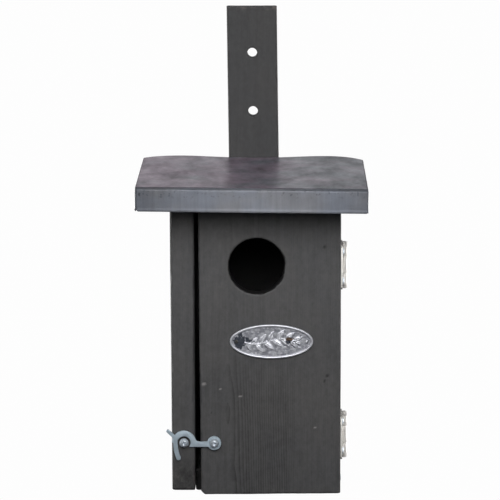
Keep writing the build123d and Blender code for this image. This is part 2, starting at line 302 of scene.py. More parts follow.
def stained_pine(
    name,
    grain="z",
    pith=(0.0, 40.0),
    taper=0.08,
    rings=0.5,
    ring_gap=2.7,
    shade=1.0,
    rub=None,
    clear_from=None,
):
    """Pine in matt anthracite stain: growth rings round a pith line, fibres, worn edges and chips.

    pith is the ring centre at height 0, across the grain, and taper leans it along the grain.
    rub says where the stain is rubbed thin: the height where it is all so, the height where none
    is, how much darker that is, and how bare. clear_from is the place below which the rings show
    clearly.
    """
    look = Look(name, Specular_IOR_Level=0.30)
    axes = look.axes(look.place)
    across, depth, along = [axes[i] for i in GRAIN_ORDER[grain]]
    turned = look.vector(across, depth, along)

    warp = look.times(look.noise((0.03, 0.03, 0.010), shift=(5, 2, 0), vector=turned), 4.0)
    wobble = look.times(look.noise((0.11, 0.11, 0.02), shift=(1, 7, 3), vector=turned), 0.8)
    side = look.total(across, -pith[0], warp, wobble)
    back = look.total(depth, -pith[1], look.times(along, taper), warp)
    radius = look.math("SQRT", look.total(look.times(side, side), look.times(back, back)))
    ring = look.math("FRACT", look.math("DIVIDE", radius, ring_gap))
    calm = look.noise((0.016, 0.016, 0.006), shift=(6, 3, 2), vector=turned)
    clear = look.step(-0.35, 0.35, calm)
    if clear_from:
        across_share = look.times(look.total(across, -clear_from[0]), 1.0 / CLEAR_HALF_WIDTH)
        middle = look.step(1.3, 0.6, look.times(across_share, across_share))
        clear = look.times(middle, look.step(clear_from[1] + 25.0, clear_from[1] - 15.0, along))
    dense = look.math("POWER", ring, 2.0)
    late = look.times(dense, look.total(0.18, look.times(clear, 0.9)), rings)

    fibre = look.noise((0.55, 0.55, 0.025), detail=6.0, rough=0.7, vector=turned)
    streak = look.noise((0.3, 0.3, 0.006), shift=(9, 1, 4), vector=turned)
    blotch = look.noise((0.035, 0.035, 0.025), shift=(3, 8, 6), detail=5.0, vector=turned)
    flecks = look.step(0.30, 0.5, look.noise((1.1, 1.1, 0.12), shift=(2, 5, 8), vector=turned))
    speckle = look.noise((0.32, 0.32, 0.24), shift=(7, 2, 9), detail=6.0, rough=0.75, vector=turned)

    facing = look.axes(look.facing)[GRAIN_ORDER[grain][2]]
    end_grain = look.step(0.6, 0.9, look.math("ABSOLUTE", facing))
    tone = look.total(
        shade,
        look.times(fibre, 0.26 * shade),
        look.times(streak, 0.12 * shade),
        look.times(blotch, 0.22 * shade),
        look.times(speckle, 0.38 * shade),
        look.times(flecks, -0.08 * shade),
        look.times(late, -0.26 * shade),
        look.times(end_grain, -0.18 * shade),
        # Every board is painted darker towards the bottom: painted shade, for light that falls off
        # downwards.
        look.times(look.step(-85.0, -185.0, axes[2]), -0.085 * shade),
    )
    colour = look.scaled(look.mix(look.step(-0.5, 0.5, blotch), PINE_STAIN, PINE_STAIN_WARM), tone)

    edge = look.attribute("edge")
    patchy = look.noise((0.35, 0.35, 0.12), shift=(4, 4, 1), detail=5.0, rough=0.7, vector=turned)
    worn = look.times(look.step(0.65, 1.15, look.total(edge, look.times(patchy, 0.6))), 0.30)
    colour = look.mix(worn, colour, PINE_WORN)
    chips = look.times(look.attribute("chip"), look.total(0.75, look.times(speckle, 0.4)))
    colour = look.mix(chips, colour, PINE_CHIP)
    # The dark attribute is painted shade: inside the box, in dents and in the entry hole's bore.
    painted_shade = look.times(look.attribute("dark"), 0.92)
    colour = look.scaled(colour, look.math("SUBTRACT", 1.0, painted_shade))
    if rub:
        full, none, darker, bare_share = rub
        thin = look.step(none, full, axes[2])
        mottled = look.noise(
            (0.22, 0.22, 0.18), shift=(3, 9, 1), detail=6.0, rough=0.7, vector=turned
        )
        bare = look.times(thin, look.step(-0.05, 0.35, mottled))
        shaded = look.times(thin, look.total(darker, look.times(mottled, -0.9)))
        colour = look.scaled(colour, look.math("SUBTRACT", 1.0, shaded))
        colour = look.mix(look.times(bare, bare_share), colour, PINE_WORN)

    roughness = look.total(
        0.64, look.times(fibre, 0.10), look.times(late, -0.10), look.times(blotch, 0.05)
    )
    height = look.total(
        look.times(fibre, 0.35),
        look.times(late, 0.4),
        look.times(flecks, -0.5),
        look.times(patchy, 0.15),
        look.times(speckle, 0.2),
    )
    return look.finish(colour, roughness, height, depth=0.08)


SMEAR = (0.035, 0.034, 0.033)


def worn_metal(name, colour, roughness, metallic=1.0, mottle=0.10, stained=None):
    """Metal with a mottled tone and fine scratches.

    stained makes dark, rough smears from a function of the look's axes that gives 0 to 1.
    """
    look = Look(name, Metallic=metallic)
    patches = look.noise((0.25, 0.25, 0.25), shift=(3, 1, 7), detail=4.0)
    fine = look.noise((0.8, 0.8, 0.8), shift=(1, 9, 2), detail=5.0, rough=0.65)
    tone = look.total(1.0, look.times(patches, mottle), look.times(fine, mottle * 0.6))
    rough = look.total(roughness, look.times(patches, 0.06), look.times(fine, 0.05))
    colour = look.scaled(colour, tone)
    if stained:
        smears = look.noise((0.45, 0.45, 0.45), shift=(2, 2, 6), detail=5.0, rough=0.7)
        amount = stained(look, look.axes(look.place))
        smear = look.step(0.55, 0.85, look.total(amount, look.times(smears, 0.38)))
        colour = look.mix(smear, colour, SMEAR)
        rough = look.total(rough, look.times(smear, 0.35))
        metal = look.times(look.math("SUBTRACT", 1.0, smear), metallic)
        return look.finish(colour, rough, fine, depth=0.02, metallic=metal)
    return look.finish(colour, rough, fine, depth=0.02)


ZINC_TOP = (0.091, 0.097, 0.112)
ZINC_TOP_MAUVE = (0.134, 0.101, 0.129)
ZINC_SKIRT = (0.207, 0.223, 0.260)
ZINC_SKIRT_WARM = (0.218, 0.223, 0.243)
ZINC_FOLD_SHADE = (0.030, 0.031, 0.036)


def zinc_sheet(name, fold_height, half_width):
    """Pre-weathered zinc: cloudy on top, streaked on the skirts, with specks under the fold."""
    look = Look(name, Specular_IOR_Level=0.14)
    axes = look.axes(look.place)
    up = look.step(0.5, 0.9, look.math("ABSOLUTE", look.axes(look.facing)[2]))
    fold = look.attribute("fold")

    clouds = look.noise((0.10, 0.04, 0.09), shift=(2, 6, 1), detail=6.0, rough=0.62)
    drift = look.noise((0.05, 0.025, 0.1), shift=(7, 3, 9), detail=5.0, rough=0.65)
    warmth = look.noise((0.04, 0.05, 0.06), shift=(4, 8, 5), detail=3.0)
    streaks = look.noise((0.30, 0.30, 0.035), shift=(6, 2, 2), detail=5.0, rough=0.62)
    fine = look.noise((2.5, 2.5, 2.5), shift=(1, 1, 5), detail=2.0)
    under = look.math("SUBTRACT", axes[2], fold_height)
    below_fold = look.times(look.step(-6.5, -3.0, under), look.step(0.2, -1.2, under))
    drops = look.noise((0.42, 0.42, 0.50), shift=(8, 4, 4), detail=2.0)
    specks = look.times(look.step(0.10, 0.40, drops), below_fold)
    off_middle = look.times(axes[0], 1.0 / half_width)
    ends = look.times(off_middle, off_middle)

    # The top's zinc is painted darker than the skirts' as painted shade, and lighter and mauver to
    # the left as a painted reflection.
    mauve = look.step(-0.5, 0.4, look.total(warmth, look.times(off_middle, -0.4)))
    top = look.scaled(
        look.mix(mauve, ZINC_TOP, ZINC_TOP_MAUVE),
        look.total(
            1.0,
            look.times(clouds, 1.0),
            look.times(drift, 0.5),
            look.times(off_middle, -0.12),
        ),
    )
    # The skirts are painted darker at their ends and a little lighter to the right: a painted
    # reflection of the light in front.
    skirt = look.scaled(
        look.mix(look.step(-0.35, 0.35, warmth), ZINC_SKIRT, ZINC_SKIRT_WARM),
        look.total(
            1.0,
            look.times(streaks, 0.26),
            look.times(clouds, 0.14),
            look.times(specks, -0.34),
            look.times(ends, -0.42),
            look.times(off_middle, 0.055),
            look.times(fine, 0.04),
        ),
    )
    colour = look.mix(up, skirt, top)
    # ZINC_FOLD_SHADE paints a dark line along the folds and skirt corners: painted shade, and the
    # real seam at the left corner's tab.
    colour = look.mix(look.times(fold, 0.70), colour, ZINC_FOLD_SHADE)
    metallic = look.times(look.math("SUBTRACT", 1.0, fold), look.total(0.34, look.times(up, -0.24)))
    roughness = look.total(
        0.37,
        look.times(clouds, -0.16),
        look.times(drift, -0.10),
        look.times(streaks, 0.05),
        look.times(specks, 0.15),
        look.times(fold, 0.45),
    )
    height = look.total(look.times(fine, 0.2), look.times(streaks, 0.3), look.times(clouds, 0.8))
    return look.finish(colour, roughness, height, depth=0.03, metallic=metallic)


CAST_LOW = (0.25, 0.255, 0.285)
CAST_HIGH = (0.56, 0.565, 0.605)
TARNISH = (0.020, 0.024, 0.034)
RUST = (0.085, 0.052, 0.032)


def cast_plate(name):
    """Silvery cast metal, dark in its low places and worn bright on its high ones."""
    look = Look(name, Specular_IOR_Level=0.12)
    relief = look.attribute("relief")
    patches = look.noise((0.16, 0.16, 0.3), shift=(2, 3, 5), detail=5.0)
    fine = look.noise((0.9, 0.9, 0.9), shift=(5, 5, 2), detail=5.0, rough=0.7)
    high = look.total(relief, look.times(patches, 0.35), look.times(fine, 0.25))
    bright = look.step(0.05, 0.85, high)
    shade = look.step(0.25, 0.75, look.total(look.attribute("tarnish"), look.times(fine, 0.35)))
    tone = look.total(1.0, look.times(patches, 0.14), look.times(fine, 0.14))
    colour = look.mix(bright, CAST_LOW, CAST_HIGH)
    colour = look.mix(look.times(shade, 0.95), colour, TARNISH)
    colour = look.mix(look.times(look.attribute("rust"), 0.85), colour, RUST)
    rough = look.total(
        0.36, look.times(bright, -0.06), look.times(fine, 0.07), look.times(shade, 0.2)
    )
    metal = look.total(0.55, look.times(shade, -0.45))
    return look.finish(look.scaled(colour, tone), rough, fine, depth=0.03, metallic=metal)


# Boards: the CAD boards with sanded edges, planing waves, nicks and dents

ENTRY_RADIUS = 16.0
WAVE_DEPTH = 0.10
STREAK_DEPTH = 0.045
NICK_DEPTH = 0.8
FINE_NICK_DEPTH = 0.30
RAGGED_RIM_DEPTH = 0.30
EDGE_SLANT = 0.29  # how far the largest part of a 45 degree normal is below 1
DENT_SHADE = 0.6
BATTEN_LEAN = 0.0148
LEAN_START = -45.0
LEAN_CENTRE = -25.0


class Mark:
    """A chip or dent on a board's front: its place, half sizes and depth in millimetres."""

    def __init__(self, kind, x, z, half_width, half_height, depth):
        self.kind, self.x, self.z = kind, x, z
        self.half_width, self.half_height, self.depth = half_width, half_height, depth

    def on(self, points):
        """How deep each point lies in the mark, from 0 to 1, inside a ragged outline."""
        reach = ((points[:, 0] - self.x) / self.half_width) ** 2
        reach += ((points[:, 2] - self.z) / self.half_height) ** 2
        reach += 0.5 * noise(points * 0.9, 7)
        return 1.0 - smooth_step(0.1, 1.0, reach)


class Bore:
    """A drilled hole along Y: painted shade inside it and a slightly ragged rim."""

    def __init__(self, x, z, radius):
        self.x, self.z, self.radius = x, z, radius

    def reach(self, points):
        """Distance outside the hole's wall."""
        return np.hypot(points[:, 0] - self.x, points[:, 2] - self.z) - self.radius


def board(
    node, cell, seed, material, grain="z", marks=(), flat_sides=False, bore=None, painted_shade_front=0.0
):
    """A board remeshed into small cells and given the relief of planed softwood.

    flat_sides wears only the edges round its front and back, not those between its sides.
    painted_shade_front darkens its front inside the box with painted shade.
    """
    piece = cad_copy(node, node + "_wood")
    skin = piece.modifiers.new("skin", "REMESH")
    skin.mode = "VOXEL"
    skin.voxel_size = cell * MM
    skin.use_smooth_shade = True
    apply_modifiers(piece)
    points, normals = read_points(piece.data)
    order = list(GRAIN_ORDER[grain])
    turned = points[:, order]

    waves = noise(turned * (0.05, 0.05, 0.02), seed) * WAVE_DEPTH
    streaks = noise(turned * (0.35, 0.35, 0.02), seed + 1) * STREAK_DEPTH
    steepest = np.abs(normals).max(axis=1)
    edge = np.clip((1.0 - steepest) / EDGE_SLANT, 0.0, 1.0)
    if flat_sides:
        forward = normals[:, 1] ** 2
        edge = 4.0 * forward * (1.0 - forward)
    nicks = smooth_step(0.2, 0.9, noise(points * 0.21, seed + 2)) * NICK_DEPTH
    nicks += smooth_step(0.0, 0.8, noise(points * 0.6, seed + 3)) * FINE_NICK_DEPTH
    relief = waves + streaks - edge * nicks
    chip = np.zeros(len(points))
    faces_front = normals[:, 1] < -0.5
    # dark is painted shade: on the front inside the box, in dents and in the entry hole's bore.
    dark = painted_shade_front * faces_front
    for mark in marks:
        depth = mark.on(points) * faces_front
        relief -= depth * mark.depth
        if mark.kind == "chip":
            chip = np.maximum(chip, depth)
        else:
            dark = np.maximum(dark, depth * DENT_SHADE)
    if bore:
        reach = bore.reach(points)
        dark = np.maximum(dark, 1.0 - smooth_step(0.10, 0.55, reach))
        ragged = smooth_step(0.0, 0.7, noise(points * 0.55, seed + 4))
        relief -= RAGGED_RIM_DEPTH * ragged * (1.0 - smooth_step(0.3, 1.4, reach)) * faces_front
    write_points(piece.data, points + normals * relief[:, None])
    write_attribute(piece.data, "edge", edge)
    write_attribute(piece.data, "chip", chip)
    write_attribute(piece.data, "dark", dark)
    return stand_for(piece, material, node)


door_marks = [
    Mark("chip", -27.6, -166.2, 1.7, 1.2, 0.30),
    Mark("chip", -18.2, -169.0, 1.1, 0.5, 0.12),
    Mark("chip", -6.7, -173.3, 1.4, 0.5, 0.15),
    Mark("chip", 36.4, -191.5, 0.7, 0.7, 0.12),
    Mark("dent", 43.4, -161.6, 1.0, 1.4, 0.45),
    Mark("dent", 41.6, -164.7, 0.8, 1.2, 0.30),
    Mark("dent", 41.6, -87.0, 1.1, 1.7, 0.40),
    Mark("dent", -23.4, -182.8, 0.7, 0.9, 0.25),
]
entry_low, entry_high = next(
    opening["box_m"] for opening in record["physics"]["openings"] if opening["name"] == "entry_hole"
)
entry_x, _, entry_z = [(low + high) / 2 / MM for low, high in zip(entry_low, entry_high)]
entry = Bore(entry_x, entry_z, ENTRY_RADIUS)

pine_door = stained_pine(
    "pine_door",
    pith=(-13.0, -102.0),
    taper=-0.03,
    rings=1.7,
    ring_gap=1.2,
    clear_from=(4.5, -165.0),
)
# The batten's stain is set much darker than the door's (shade): painted shade, for the weaker light
# on it further back.
pine_batten = stained_pine(
    "pine_batten",
    pith=(-30.0, 25.0),
    taper=0.03,
    rings=0.30,
    shade=0.575,
    rub=(45.0, 42.0, 0.0, 0.65),
)
pine_left = stained_pine(
    "pine_left",
    pith=(-70.0, -60.0),
    taper=0.02,
    rings=0.35,
    ring_gap=2.2,
    rub=(-220.0, -203.0, 0.42, 0.16),
)
pine_right = stained_pine("pine_right", pith=(85.0, -55.0), taper=0.03, rings=0.5)
pine_back = stained_pine("pine_back", pith=(-8.0, -60.0), taper=-0.09, rings=0.6)
pine_roof = stained_pine("pine_roof", grain="x", pith=(-70.0, -20.0), taper=0.05, rings=0.5)
pine_floor = stained_pine("pine_floor", grain="x", pith=(-60.0, -250.0), taper=0.05, rings=0.5)

board("front_door", 0.7, 11, pine_door, marks=door_marks, flat_sides=True, bore=entry)
batten = board("hanging_batten", 0.75, 21, pine_batten)
places, _ = read_points(batten.data)
places[:, 0] -= BATTEN_LEAN * (np.maximum(places[:, 2], LEAN_START) - LEAN_CENTRE)
write_points(batten.data, places)
board("left_wall", 1.0, 31, pine_left)
board("right_wall", 1.1, 41, pine_right)
# The back and floor boards get painted shade on their fronts inside the box.
board("back_board", 1.1, 51, pine_back, painted_shade_front=0.965)
roof_wood = board("roof_board", 1.5, 61, pine_roof, grain="x")
board("floor_board", 1.0, 71, pine_floor, grain="x", painted_shade_front=0.85)


# Zinc sheet: a shallow lid with rounded folds and corners, a hem, cut corners and a bulging back
# edge

ROOF_PITCH = math.radians(1.5)
ROOF_BOARD_THICKNESS = 12.0
SHEET = 0.7
SKIRT = 14.1
FOLD_RADIUS = 0.9
CREST_MIDDLE = 0.95
CREST_GAIN = 6.3
CREST_LEAN = 0.2
HEM_HEIGHT = 1.6
HEM_PROUD = 0.08
CORNER_CUTS = {"left": 1.7, "right": 1.0}
ROOF_TILT = 0.0095
BUCKLE = 0.35
BUCKLE_FROM_EDGE = 18.0
BOW = 0.16
FINE_BOW = 0.05
LIP = -0.25
CREASE = -0.15
FOLD_OVER_DOOR = 13.4
LINES_ACROSS = 56
LINES_ALONG = 90
LINES_DOWN = 30


def tilt(piece):
    """Let a piece of the roof hang a little lower on the right, as the real one does."""
    places, _ = read_points(piece.data)
    places[:, 2] -= ROOF_TILT * places[:, 0]
    write_points(piece.data, places)
    return piece


def crest(across):
    """How far the sheet's back edge rises over the board, at -1 to 1 across."""
    square = np.clip(across * across, 0.0, 1.0)
    return (1.0 - square) * (CREST_MIDDLE + CREST_GAIN * square) * (1.0 + CREST_LEAN * across)


def sheet_lines(half, count):
    """Grid lines over a face and down its skirt, closer together at the fold."""
    flat = np.linspace(0.0, half - FOLD_RADIUS, count)
    near = half - FOLD_RADIUS - np.array([0.9, 0.6, 0.3])
    bend = half - FOLD_RADIUS + FOLD_RADIUS * np.array([0.25, 0.45, 0.62, 0.76, 0.88, 0.95])
    turn = half + FOLD_RADIUS * np.array([0.0, 0.05, 0.12, 0.24, 0.38, 0.55, 0.75])
    down = half + np.linspace(FOLD_RADIUS, SKIRT, LINES_DOWN)
    return np.sort(np.concatenate([flat, near, bend, turn, down]))


def bent_net(half, length):
    """The net's points and outward directions, bent with rounded folds, and its faces."""
    right = sheet_lines(half, LINES_ACROSS)
    across = np.concatenate([-right[:0:-1], right])
    along = sheet_lines(length, LINES_ALONG)
    limits = np.array([half - FOLD_RADIUS, length - FOLD_RADIUS, SHEET - FOLD_RADIUS])
    points, outward, index, places = [], [], {}, {}
    for i, a in enumerate(across):
        for j, b in enumerate(along):
            if abs(a) > half and b > length:
                continue
            drop = max(abs(a) - half, 0.0) + max(b - length, 0.0)
            flat = np.array([np.clip(a, -half, half), min(b, length), SHEET - drop])
            inner = np.minimum(flat, limits)
            inner[0] = max(inner[0], -limits[0])
            out = flat - inner
            out /= np.linalg.norm(out)
            point = inner + out * FOLD_RADIUS
            key = tuple(np.round(point, 4))
            if key not in places:
                places[key] = len(points)
                points.append(point)
                outward.append(out)
            index[i, j] = places[key]
    faces = []
    for i in range(len(across) - 1):
        for j in range(len(along) - 1):
            corners = [(i, j), (i + 1, j), (i + 1, j + 1), (i, j + 1)]
            if all(corner in index for corner in corners):
                face = list(dict.fromkeys(index[corner] for corner in corners))
                if len(face) > 2:
                    faces.append(face)
    return np.array(points), np.array(outward), faces


def roof_sheet():
    """The lid in its place on the roof board."""
    board_low, board_high = [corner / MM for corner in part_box("roof_board")]
    cover_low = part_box("roof_cover")[0] / MM
    half = (board_high.x - board_low.x) / 2 + SHEET
    back = board_high.y - ROOF_BOARD_THICKNESS * math.sin(ROOF_PITCH)
    length = (back - cover_low.y) / math.cos(ROOF_PITCH)
    local, out, faces = bent_net(half, length)

    above_hem = local[:, 2] - (SHEET - SKIRT)
    from_side, from_front = half - np.abs(local[:, 0]), length - local[:, 1]
    on_left = local[:, 0] < 0
    upward = smooth_step(0.0, 1.0, out[:, 2])
    skirt = 1.0 - upward

    wander = 0.30 * noise(local * (0.06, 0.06, 0.0) + 3.5, 84)
    wander = wander + 0.12 * noise(local * (0.3, 0.3, 0.0), 85)
    # fold marks a dark line for the material: painted shade along the folds, the skirt corners and
    # the cut corners, and the real seam at the left corner's tab.
    fold_end = SHEET - FOLD_RADIUS + wander
    fold = smooth_step(fold_end - 0.8, fold_end - 0.2, local[:, 2])
    fold *= 1.0 - smooth_step(0.94, 0.999, out[:, 2])
    tab = (1.0 - smooth_step(0.8, 1.3, from_side)) * on_left * skirt * (from_front < 1.5)
    corner = 4.0 * (out[:, 0] * out[:, 1]) ** 2
    fold = np.maximum(fold, np.maximum(0.85 * tab, 0.5 * corner))

    cut = np.where(on_left, CORNER_CUTS["left"], CORNER_CUTS["right"])
    short = np.clip(cut - above_hem - from_side - from_front, 0.0, None)
    fold = np.maximum(fold, smooth_step(0.0, 0.5, short + 0.3) * (short > 0) * 0.8)
    local[:, 2] += short

    rise = crest(local[:, 0] / half) * (1.0 - local[:, 1] / length)
    inland = smooth_step(0.0, BUCKLE_FROM_EDGE, np.minimum(from_side, from_front))
    buckle = noise(local * (0.032, 0.04, 0.0) + 0.5, 81) * BUCKLE * inland
    local[:, 2] += upward * (rise + buckle)
    bow = noise(local * (0.04, 0.04, 0.10), 82) * BOW
    bow = bow + noise(local * (0.12, 0.12, 0.25), 83) * FINE_BOW
    hem = HEM_PROUD * (1.0 - smooth_step(HEM_HEIGHT - 0.35, HEM_HEIGHT + 0.25, above_hem))
    lip = LIP * (1.0 - smooth_step(0.0, 0.45, above_hem))
    crease = CREASE * fold * skirt
    local += out * (skirt * bow + hem + lip + crease)[:, None]

    origin = np.array([0.0, back, board_high.z])
    down_roof = np.array([0.0, -math.cos(ROOF_PITCH), -math.sin(ROOF_PITCH)])
    off_roof = np.array([0.0, -math.sin(ROOF_PITCH), math.cos(ROOF_PITCH)])
    sideways = np.array([1.0, 0.0, 0.0])
    world = origin + local[:, :1] * sideways + local[:, 1:2] * down_roof + local[:, 2:] * off_roof
    piece = piece_from("roof_zinc", world, faces)
    write_attribute(piece.data, "fold", fold)
    face_outward(piece)
    thick = piece.modifiers.new("thickness", "SOLIDIFY")
    thick.thickness = SHEET * MM
    thick.offset = -1.0
    apply_modifiers(piece)
    return sharpen(piece, 50)


def face_outward(piece, upward=True):
    """Turn a piece's faces outward. An open sheet's are turned up."""
    shape = bmesh.new()
    shape.from_mesh(piece.data)
    bmesh.ops.recalc_face_normals(shape, faces=shape.faces)
    if upward and sum(face.normal.z * face.calc_area() for face in shape.faces) < 0:
        bmesh.ops.reverse_faces(shape, faces=shape.faces)
    shape.to_mesh(piece.data)
    shape.free()


roof_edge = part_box("roof_cover")[1].x / MM
fold_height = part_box("front_door")[1].z / MM + FOLD_OVER_DOOR
zinc_roof = zinc_sheet("zinc_roof", fold_height, half_width=roof_edge)
stand_for(tilt(roof_sheet()), zinc_roof, "roof_cover")
tilt(roof_wood)


# Oval plate: a raised rim round a hammered field with a leafy sprig

RIM_WIDTH = 1.5
RIM_PROFILE = [
    (0.10, 0.95),
    (0.28, 1.25),
    (0.55, 1.42),
    (0.85, 1.40),
    (1.12, 1.25),
    (1.32, 1.02),
    (1.5, 0.80),
]
EDGE_HEIGHT = 0.55
PLATE_TURNS = 360
PLATE_RINGS = 72
LEAF_LENGTH = 7.2
LEAF_WIDTH = 1.75
STEM_SWING = 1.5
STEM_RATE = 0.19
STEM_START = 0.3


def leaf(points, x, z, angle, length, width):
    """Relief of one leaf that grows from a point at an angle, with its midrib and veins."""
    forward = np.array([math.cos(angle), math.sin(angle)])
    sideways = np.array([-forward[1], forward[0]])
    from_base = points - (x, z)
    t = from_base @ forward / length
    s = from_base @ sideways
    inside = (t > 0) & (t < 1)
    half = width * np.sin(np.pi * np.clip(t, 0.0, 1.0) ** 0.8) + 1e-6
    body = np.clip(1.0 - (s / half) ** 2, 0.0, 1.0) ** 0.6
    midrib = 1.0 - 0.55 * np.exp(-((s / 0.16) ** 2))
    veins = 1.0 - 0.18 * (0.5 + 0.5 * np.cos((t * length - np.abs(s) * 0.9) * 2 * np.pi / 0.9))
    return np.where(inside, body * midrib * veins, 0.0)


def stem_height(x):
    return STEM_SWING * np.sin(x * STEM_RATE + STEM_START)


def sprig(points):
    """Relief of the sprig, from 0 to 1."""
    x, z = points[:, 0], points[:, 1]
    taper = smooth_step(-16.5, -14.0, x) * (1.0 - smooth_step(13.5, 16.5, x))
    relief = np.exp(-(((z - stem_height(x)) / 0.36) ** 2)) * taper * 0.8
    for i, base in enumerate(np.arange(-14.0, 13.0, 2.45)):
        side = 1 if i % 2 else -1
        slope = math.atan(STEM_SWING * STEM_RATE * math.cos(base * STEM_RATE + STEM_START))
        angle = slope + side * math.radians(52 - 1.2 * i)
        size = 1.0 - 0.0016 * base * base
        made = leaf(points, base, stem_height(base), angle, LEAF_LENGTH * size, LEAF_WIDTH * size)
        relief = np.maximum(relief, made)
    tip = leaf(points, 13.4, stem_height(13.4), -0.5, 4.2, 1.1)
    return np.maximum(relief, tip)


def stain(points, ragged, centre, half_size, full, end):
    """How strongly an oval stain lies on points: 1 inside, and 0 from a ragged outline on."""
    x = (points[:, 0] - centre[0]) / half_size[0]
    z = (points[:, 1] - centre[1]) / half_size[1]
    return 1.0 - smooth_step(full, end, x**2 + z**2 + ragged)


def plate():
    """The plate as rings of points: its edge, its rim and then its field, towards the middle."""
    low, high = [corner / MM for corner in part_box("oval_plate")]
    door_face = high.y
    middle = np.array([(low.x + high.x) / 2, (low.z + high.z) / 2])
    half = np.array([(high.x - low.x) / 2, (high.z - low.z) / 2])
    turns = PLATE_TURNS
    angle = np.arange(turns) * 2 * math.pi / turns
    outline = np.stack([half[0] * np.cos(angle), half[1] * np.sin(angle)], axis=1)
    normal = np.stack([half[1] * np.cos(angle), half[0] * np.sin(angle)], axis=1)
    normal /= np.linalg.norm(normal, axis=1)[:, None]

    rings = [(outline, 0.0), (outline, EDGE_HEIGHT)]
    for inset, height in RIM_PROFILE:
        rings.append((outline - normal * inset, height))
    field_edge = outline - normal * RIM_WIDTH
    for share in np.linspace(1.0, 0.02, PLATE_RINGS)[1:]:
        rings.append((field_edge * share, None))
    points, tones, tarnish, rust = [], [], [], []
    for flat, height in rings:
        if height is None:
            relief = sprig(flat)
            grain = noise(np.column_stack([flat * 0.9, np.zeros(turns)]), 91)
            small = noise(np.column_stack([flat * 2.2, np.zeros(turns)]), 92)
            share = np.linalg.norm(flat / half, axis=1)
            dish = 0.62 + 0.16 * share**2
            heights = dish + 0.50 * relief + (0.05 * grain + 0.03 * small) * (1.0 - 0.6 * relief)
            tones.extend(np.clip(0.36 + 0.30 * grain + 0.15 * small + 0.36 * relief, 0.0, 1.0))
        else:
            heights = np.full(turns, height)
            tones.extend(np.full(turns, np.clip((height - 0.75) / 0.5, 0.0, 1.0)))
        ragged = 0.9 * noise(np.column_stack([flat * 0.5, np.zeros(turns)]), 94)
        ragged += 0.9 * noise(np.column_stack([flat * 1.4, np.zeros(turns)]), 95)
        spot = stain(flat, ragged, (-18.3, 0.4), (3.4, 4.2), 0.4, 1.5)
        trail = stain(flat, ragged, (-13.5, 0.6), (4.4, 1.5), 0.2, 1.3)
        pit = stain(flat, ragged, (10.6, 0.6), (2.4, 1.7), 0.3, 1.3)
        on_field = float(height is None)
        tarnish.extend(on_field * np.maximum(np.maximum(spot, 0.75 * trail), 0.8 * pit))
        rust.extend(on_field * pit * smooth_step(0.0, 1.2, flat[:, 1]))
        for (x, z), rise in zip(flat, heights):
            points.append((middle[0] + x, door_face - rise, middle[1] + z))
    faces = []
    for ring in range(len(rings) - 1):
        for i in range(turns):
            j = (i + 1) % turns
            a, b = ring * turns, (ring + 1) * turns
            faces.append((a + i, a + j, b + j, b + i))
    faces.append(list(reversed(range(turns))))
    last = (len(rings) - 1) * turns
    faces.append(list(range(last, last + turns)))
    piece = piece_from("plate_relief", points, faces)
    write_attribute(piece.data, "relief", np.array(tones))
    write_attribute(piece.data, "tarnish", np.array(tarnish))
    write_attribute(piece.data, "rust", np.array(rust))
    face_outward(piece, upward=False)
    return sharpen(piece, 60)


stand_for(plate(), cast_plate("cast_plate"), "oval_plate")


# Hardware: hook, hinges, screws, nails and pins

HOOK_ROUNDING = 0.35
LEAF_ROUNDING = 0.18
HINGE_PIN_ROUNDING = 0.1
HEAD_ROUNDING = 0.12
PLATE_PIN_ROUNDING = 0.08
STAIN_FROM_END = 6.5
STAIN_STRENGTH = 0.68


def round_edges(piece, radius, segments):
    """Add a bevel to the edges that turn sharply."""
    bevel = piece.modifiers.new("edges", "BEVEL")
    bevel.width = radius * MM
    bevel.segments = segments
    bevel.limit_method = "ANGLE"
    bevel.angle_limit = math.radians(35)


def rounded(node, name, radius, material, segments=3):
    """A CAD node's shape with its sharp edges rounded."""
    piece = cad_copy(node, name)
    round_edges(piece, radius, segments)
    apply_modifiers(piece)
    return stand_for(sharpen(piece, 40), material, node)


CROSS_REACH = 0.56
CROSS_WIDTH = 0.16
CROSS_DEPTH = 0.60
CROSS_TAPER = 0.6
CROSS_CLEAR = 0.5
CROSS_SEED = 17


def shells(piece):
    """The corners of each separate shell of a piece, as arrays of points in metres."""
    shape = bmesh.new()
    shape.from_mesh(piece.data)
    shape.verts.ensure_lookup_table()
    seen, found = set(), []
    for start in shape.verts:
        if start.index in seen:
            continue
        seen.add(start.index)
        reached = [start]
        for vert in reached:
            for edge in vert.link_edges:
                other = edge.other_vert(vert)
                if other.index not in seen:
                    seen.add(other.index)
                    reached.append(other)
        found.append(np.array([vert.co for vert in reached]))
    shape.free()
    return found


def turned(points, angle):
    """Flat points turned about the origin."""
    cos, sin = math.cos(angle), math.sin(angle)
    return np.asarray(points) @ np.array([[cos, sin], [-sin, cos]])


def cross_cutter(name, spots, axis, sign, radius):
    """A tapered cross over each screw head's tip, each at its own seeded angle."""
    across = [i for i in range(3) if i != axis]
    reach, width = CROSS_REACH * radius, CROSS_WIDTH * radius
    arm = [(reach, width), (reach, -width), (width, -width)]
    outline = np.vstack([turned(arm, -quarter * math.pi / 2) for quarter in range(4)])
    count = len(outline)
    angles = np.random.RandomState(CROSS_SEED).uniform(0.0, math.pi / 2, len(spots))
    points, faces = [], []
    for spot, angle in zip(spots, angles):
        first = len(points)
        for out, size in ((CROSS_CLEAR, 1.0), (-CROSS_DEPTH * radius, CROSS_TAPER)):
            for flat in turned(outline * size, angle):
                place = np.array(spot)
                place[across] += flat
                place[axis] += sign * out
                points.append(place)
        near = [first + i for i in range(count)]
        far = [first + count + i for i in range(count)]
        faces += [near, far[::-1]]
        faces += [(near[i - 1], far[i - 1], far[i], near[i]) for i in range(count)]
    cutter = piece_from(name, points, faces, smooth=False)
    face_outward(cutter, upward=False)
    return cutter


